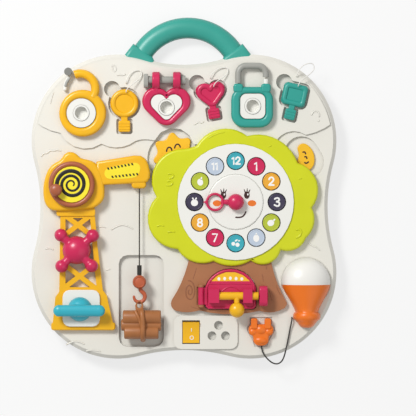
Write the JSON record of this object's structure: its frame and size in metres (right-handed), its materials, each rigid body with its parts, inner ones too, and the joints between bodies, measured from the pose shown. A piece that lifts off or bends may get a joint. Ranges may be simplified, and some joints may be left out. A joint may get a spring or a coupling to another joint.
{
  "type": "busy board",
  "caption": "Flat play board with a grip, locks and tethered keys, a crane with a cranked hook, a clock in a tree, a latch door, a switch, a plug and a lamp.",
  "frame": {"origin": "centre of the bounding box, on the back face that it lies on, without the tethers and the lead", "axes": "+X to the right across the play face, +Y towards the carrying handle, +Z out of the play face"},
  "size_m": [0.321, 0.3656, 0.0518],
  "materials": {
    "shell_white": "moulded, satin gloss",
    "cover_white": "moulded, fine texture",
    "screw_steel": "plated",
    "handle_teal": "moulded, satin gloss",
    "insert_white": "moulded gloss",
    "yellow": "moulded gloss",
    "magenta": "moulded gloss",
    "teal": "moulded gloss",
    "pin_grey": "moulded gloss",
    "cord_white": "braided cord",
    "string_dark": "twisted string",
    "crimp_black": "moulded",
    "wheel_brown": "moulded gloss",
    "spool_white": "moulded",
    "hook_brown": "moulded gloss",
    "log_brown": "moulded with grain",
    "cyan": "moulded gloss",
    "lime": "moulded gloss",
    "dial_white": "moulded gloss",
    "trunk_brown": "moulded with relief",
    "amber": "moulded gloss",
    "navy": "moulded gloss",
    "pale_blue": "moulded gloss",
    "orange": "moulded gloss",
    "cord_dark": "smooth",
    "globe_white": "translucent white moulding"
  },
  "bodies": {
    "board": {"front_shell": "shell_white", "back_cover": "cover_white", "cover_screws": "screw_steel", "handle": "handle_teal", "lock_faces": "insert_white", "round_lock_body": "yellow", "round_lock_collar": "pin_grey", "heart_lock_body": "magenta", "square_lock_body": "teal", "round_key_loop": "cord_white", "heart_key_loop": "cord_white", "square_key_loop": "cord_white", "crane_cabin": "yellow", "crane_boom": "yellow", "crane_string": "string_dark", "crane_tower": "yellow", "wing_plate": "insert_white", "tree_crown": "lime", "dial_ring": "dial_white", "dial_centre": "dial_white", "trunk": "trunk_brown", "latch_brackets": "magenta", "plug_cord": "cord_dark", "lamp_globe": "globe_white", "lamp_base": "orange"},
    "crank": {"crank_wheel": "wheel_brown", "crank_face": "yellow", "string_spool": "spool_white"},
    "hook": {"string_crimp": "crimp_black", "hook_block": "hook_brown"},
    "logs": {"log_bundle": "log_brown"},
    "four_arm": {"four_arm_knob": "magenta"},
    "wing": {"wing_knob": "cyan"},
    "round_core": {"round_lock_core": "insert_white"},
    "heart_core": {"heart_lock_core": "insert_white"},
    "square_core": {"square_lock_core": "insert_white"},
    "round_gate": {"round_lock_gate": "insert_white"},
    "heart_bar": {"heart_lock_bar": "pin_grey"},
    "square_shackle": {"square_lock_shackle": "pin_grey"},
    "round_key": {"round_key": "yellow"},
    "heart_key": {"heart_key": "magenta"},
    "square_key": {"square_key": "teal"},
    "plug": {"plug": "orange"},
    "hand": {"clock_hand": "magenta"},
    "rocker": {"sun_and_moon": "yellow"},
    "door": {"latch_door": "magenta"},
    "bolt": {"slide_bolt": "yellow"},
    "switch": {"switch_rocker": "yellow"},
    "disc_01": {"number_disc_01": "magenta"},
    "disc_02": {"number_disc_02": "amber"},
    "disc_03": {"number_disc_03": "navy"},
    "disc_04": {"number_disc_04": "lime"},
    "disc_05": {"number_disc_05": "pale_blue"},
    "disc_06": {"number_disc_06": "teal"},
    "disc_07": {"number_disc_07": "magenta"},
    "disc_08": {"number_disc_08": "amber"},
    "disc_09": {"number_disc_09": "navy"},
    "disc_10": {"number_disc_10": "lime"},
    "disc_11": {"number_disc_11": "pale_blue"},
    "disc_12": {"number_disc_12": "teal"}
  },
  "joints": [
    {"name": "crank_turn", "type": "hinge", "parent": "board", "child": "crank", "pos_m": [-0.1175, 0.0042, 0.035], "axis": [0, 0, 1], "range_deg": [0, 238]},
    {"name": "hook_lift", "type": "slide", "parent": "board", "child": "hook", "axis": [0, 1, 0], "range_m": [0, 0.0541], "deforming": ["crane_string"]},
    {"name": "log_swing", "type": "hinge", "parent": "hook", "child": "logs", "pos_m": [-0.0468, -0.1193, 0.0296], "axis": [0, 0, 1], "range_deg": [-6, 10]},
    {"name": "four_arm_turn", "type": "hinge", "parent": "board", "child": "four_arm", "pos_m": [-0.1126, -0.0647, 0.03], "axis": [0, 0, 1], "continuous": true},
    {"name": "wing_turn", "type": "hinge", "parent": "board", "child": "wing", "pos_m": [-0.1096, -0.1278, 0.032], "axis": [0, 0, 1], "range_deg": [-90, 90]},
    {"name": "round_core_turn", "type": "hinge", "parent": "board", "child": "round_core", "pos_m": [-0.1078, 0.0792, 0.028], "axis": [0, 0, 1], "range_deg": [0, 90]},
    {"name": "heart_core_turn", "type": "hinge", "parent": "board", "child": "heart_core", "pos_m": [-0.0184, 0.085, 0.028], "axis": [0, 0, 1], "range_deg": [0, 90]},
    {"name": "square_core_turn", "type": "hinge", "parent": "board", "child": "square_core", "pos_m": [0.0721, 0.0863, 0.028], "axis": [0, 0, 1], "range_deg": [0, 90]},
    {"name": "gate_swing", "type": "hinge", "parent": "board", "child": "round_gate", "pos_m": [-0.1215, 0.1226, 0.028], "axis": [0, 0, 1], "range_deg": [0, 16]},
    {"name": "bar_slide", "type": "slide", "parent": "board", "child": "heart_bar", "axis": [1, 0, 0], "range_m": [0, 0.0038]},
    {"name": "shackle_swing", "type": "hinge", "parent": "board", "child": "square_shackle", "pos_m": [0.0569, 0.11, 0.029], "axis": [0, -1, 0], "range_deg": [0, 90]},
    {"name": "round_key_lift", "type": "slide", "parent": "board", "child": "round_key", "axis": [0, 0, 1], "range_m": [0, 0.03], "deforming": ["round_key_loop"]},
    {"name": "heart_key_lift", "type": "slide", "parent": "board", "child": "heart_key", "axis": [0, 0, 1], "range_m": [0, 0.03], "deforming": ["heart_key_loop"]},
    {"name": "square_key_lift", "type": "slide", "parent": "board", "child": "square_key", "axis": [0, 0, 1], "range_m": [0, 0.03], "deforming": ["square_key_loop"]},
    {"name": "plug_lift", "type": "slide", "parent": "board", "child": "plug", "axis": [0, 0, 1], "range_m": [0, 0.03], "deforming": ["plug_cord"]},
    {"name": "hand_turn", "type": "hinge", "parent": "board", "child": "hand", "pos_m": [0.0542, -0.0142, 0.033], "axis": [0, 0, 1], "continuous": true},
    {"name": "sun_moon_swing", "type": "hinge", "parent": "board", "child": "rocker", "pos_m": [0.0542, -0.0142, 0.02], "axis": [0, 0, 1], "range_deg": [-3.5, 3.5]},
    {"name": "door_swing", "type": "hinge", "parent": "board", "child": "door", "pos_m": [0.018, -0.1128, 0.03], "axis": [0, -1, 0], "range_deg": [0, 100]},
    {"name": "bolt_slide", "type": "slide", "parent": "door", "child": "bolt", "axis": [1, 0, 0], "range_m": [-0.006, 0.003]},
    {"name": "switch_rock", "type": "hinge", "parent": "board", "child": "switch", "pos_m": [0.0074, -0.151, 0.0204], "axis": [-1, 0, 0], "range_deg": [0, 14]},
    {"name": "disc_01_flip", "type": "hinge", "parent": "board", "child": "disc_01", "pos_m": [0.0758, 0.02321, 0.02825], "axis": [0, 1, 0], "range_deg": [0, 180]},
    {"name": "disc_02_flip", "type": "hinge", "parent": "board", "child": "disc_02", "pos_m": [0.09161, 0.0074, 0.02825], "axis": [0, 1, 0], "range_deg": [0, 180]},
    {"name": "disc_03_flip", "type": "hinge", "parent": "board", "child": "disc_03", "pos_m": [0.0974, -0.0142, 0.02825], "axis": [0, 1, 0], "range_deg": [0, 180]},
    {"name": "disc_04_flip", "type": "hinge", "parent": "board", "child": "disc_04", "pos_m": [0.09161, -0.0358, 0.02825], "axis": [0, 1, 0], "range_deg": [0, 180]},
    {"name": "disc_05_flip", "type": "hinge", "parent": "board", "child": "disc_05", "pos_m": [0.0758, -0.05161, 0.02825], "axis": [0, 1, 0], "range_deg": [0, 180]},
    {"name": "disc_06_flip", "type": "hinge", "parent": "board", "child": "disc_06", "pos_m": [0.0542, -0.0574, 0.02825], "axis": [0, 1, 0], "range_deg": [0, 180]},
    {"name": "disc_07_flip", "type": "hinge", "parent": "board", "child": "disc_07", "pos_m": [0.0326, -0.05161, 0.02825], "axis": [0, 1, 0], "range_deg": [0, 180]},
    {"name": "disc_08_flip", "type": "hinge", "parent": "board", "child": "disc_08", "pos_m": [0.01679, -0.0358, 0.02825], "axis": [0, 1, 0], "range_deg": [0, 180]},
    {"name": "disc_09_flip", "type": "hinge", "parent": "board", "child": "disc_09", "pos_m": [0.011, -0.0142, 0.02825], "axis": [0, 1, 0], "range_deg": [0, 180]},
    {"name": "disc_10_flip", "type": "hinge", "parent": "board", "child": "disc_10", "pos_m": [0.01679, 0.0074, 0.02825], "axis": [0, 1, 0], "range_deg": [0, 180]},
    {"name": "disc_11_flip", "type": "hinge", "parent": "board", "child": "disc_11", "pos_m": [0.0326, 0.02321, 0.02825], "axis": [0, 1, 0], "range_deg": [0, 180]},
    {"name": "disc_12_flip", "type": "hinge", "parent": "board", "child": "disc_12", "pos_m": [0.0542, 0.029, 0.02825], "axis": [0, 1, 0], "range_deg": [0, 180]}
  ],
  "couplings": [
    {"joint": "hook_lift", "follows": "crank_turn", "m_per_rad": 0.013}
  ]
}
